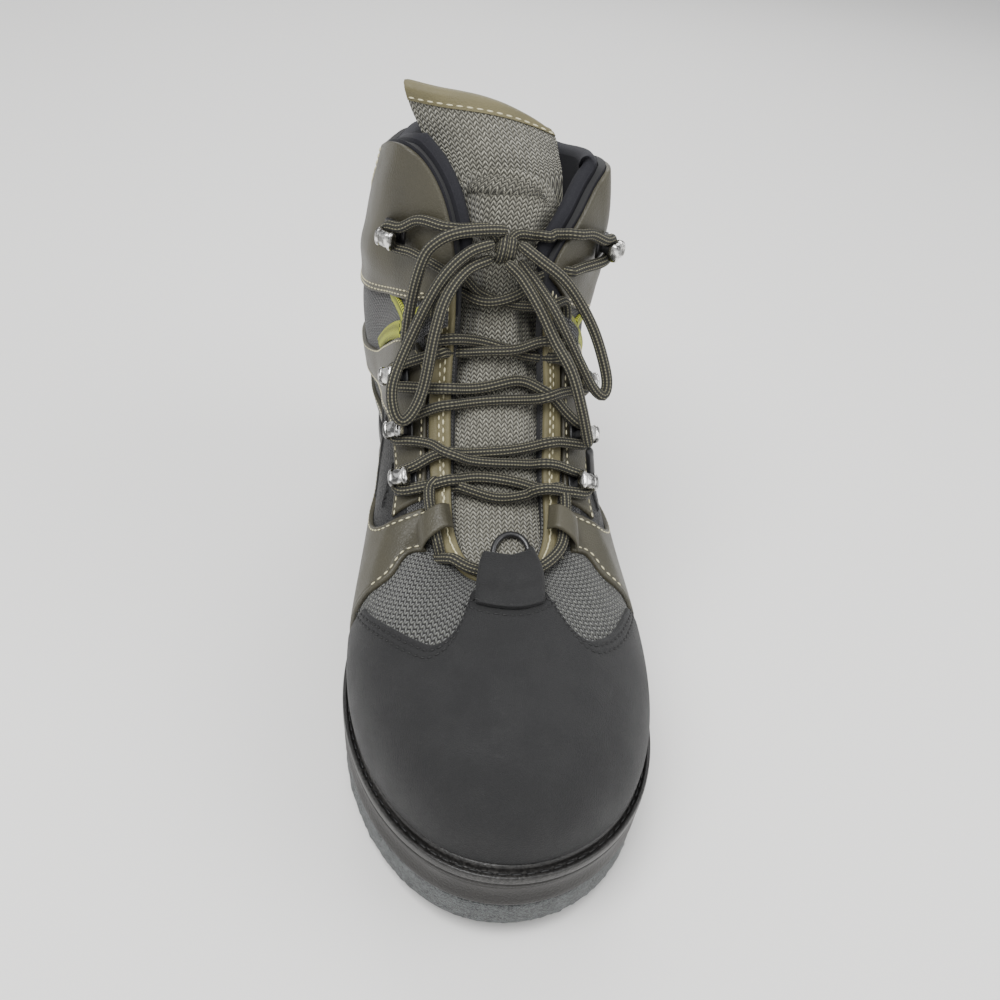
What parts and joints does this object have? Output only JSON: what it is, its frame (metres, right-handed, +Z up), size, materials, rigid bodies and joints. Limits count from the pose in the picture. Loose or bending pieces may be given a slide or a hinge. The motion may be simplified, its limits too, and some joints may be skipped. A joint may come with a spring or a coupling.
{
  "type": "lace-up wading boot",
  "caption": "Left ankle-high lace-up boot with a round toe cap, padded collar, lace hooks, stitched welt and a thick flat felt sole in two parts.",
  "frame": {"origin": "on the floor under the middle of the heel", "axes": "+Z up, toe along -Y, heel along +Y, inner side of the left foot along -X, outer side along +X"},
  "size_m": [0.1147, 0.312, 0.2161],
  "materials": {
    "felt": "compressed grey fibre felt",
    "rubber": "matt black-brown rubber",
    "welt_rubber": "matt black rubber",
    "insole_foam": "foam covered with black cloth",
    "upper_knit": "grey knit mesh",
    "black_nubuck": "matt black nubuck",
    "olive_trim": "satin olive",
    "olive_leather": "satin grey-olive",
    "tongue_knit": "light grey herringbone knit",
    "navy_foam": "foam in navy-black cloth",
    "webbing": "yellow and black webbing",
    "bright_metal": "polished, on dark bases",
    "black_metal": "satin black",
    "lace": "braided dark olive cord"
  },
  "bodies": {
    "root": {"aglet_outer": "black_metal", "collar_padding": "navy_foam", "cuff": "olive_leather", "d_ring": "black_metal", "facing": "olive_leather", "felt_forefoot": "felt", "felt_heel": "felt", "hook_inner_1": "bright_metal", "hook_inner_2": "bright_metal", "hook_inner_3": "bright_metal", "hook_inner_4": "bright_metal", "hook_outer_1": "bright_metal", "hook_outer_2": "bright_metal", "hook_outer_3": "bright_metal", "hook_outer_4": "bright_metal", "insole": "insole_foam", "keeper_tab": "black_nubuck", "lace_band_inner": "olive_leather", "lace_band_outer": "olive_leather", "lace_cross_1": "lace", "lace_cross_2": "lace", "lace_cross_3": "lace", "lace_cross_4": "lace", "lace_end_inner": "lace", "lace_end_outer": "lace", "lace_knot": "lace", "lace_loop_inner": "lace", "lace_loop_outer": "lace", "lace_strand_inner": "lace", "lace_strand_outer": "lace", "lace_toe": "lace", "midsole": "rubber", "quarter": "olive_leather", "throat_trim": "olive_trim", "toe_cap": "black_nubuck", "tongue": "tongue_knit", "tongue_binding": "olive_trim", "upper": "upper_knit", "webbing_inner": "webbing", "webbing_loop_inner": "webbing", "webbing_loop_outer": "webbing", "webbing_outer": "webbing", "welt": "welt_rubber"}
  },
  "joints": []
}
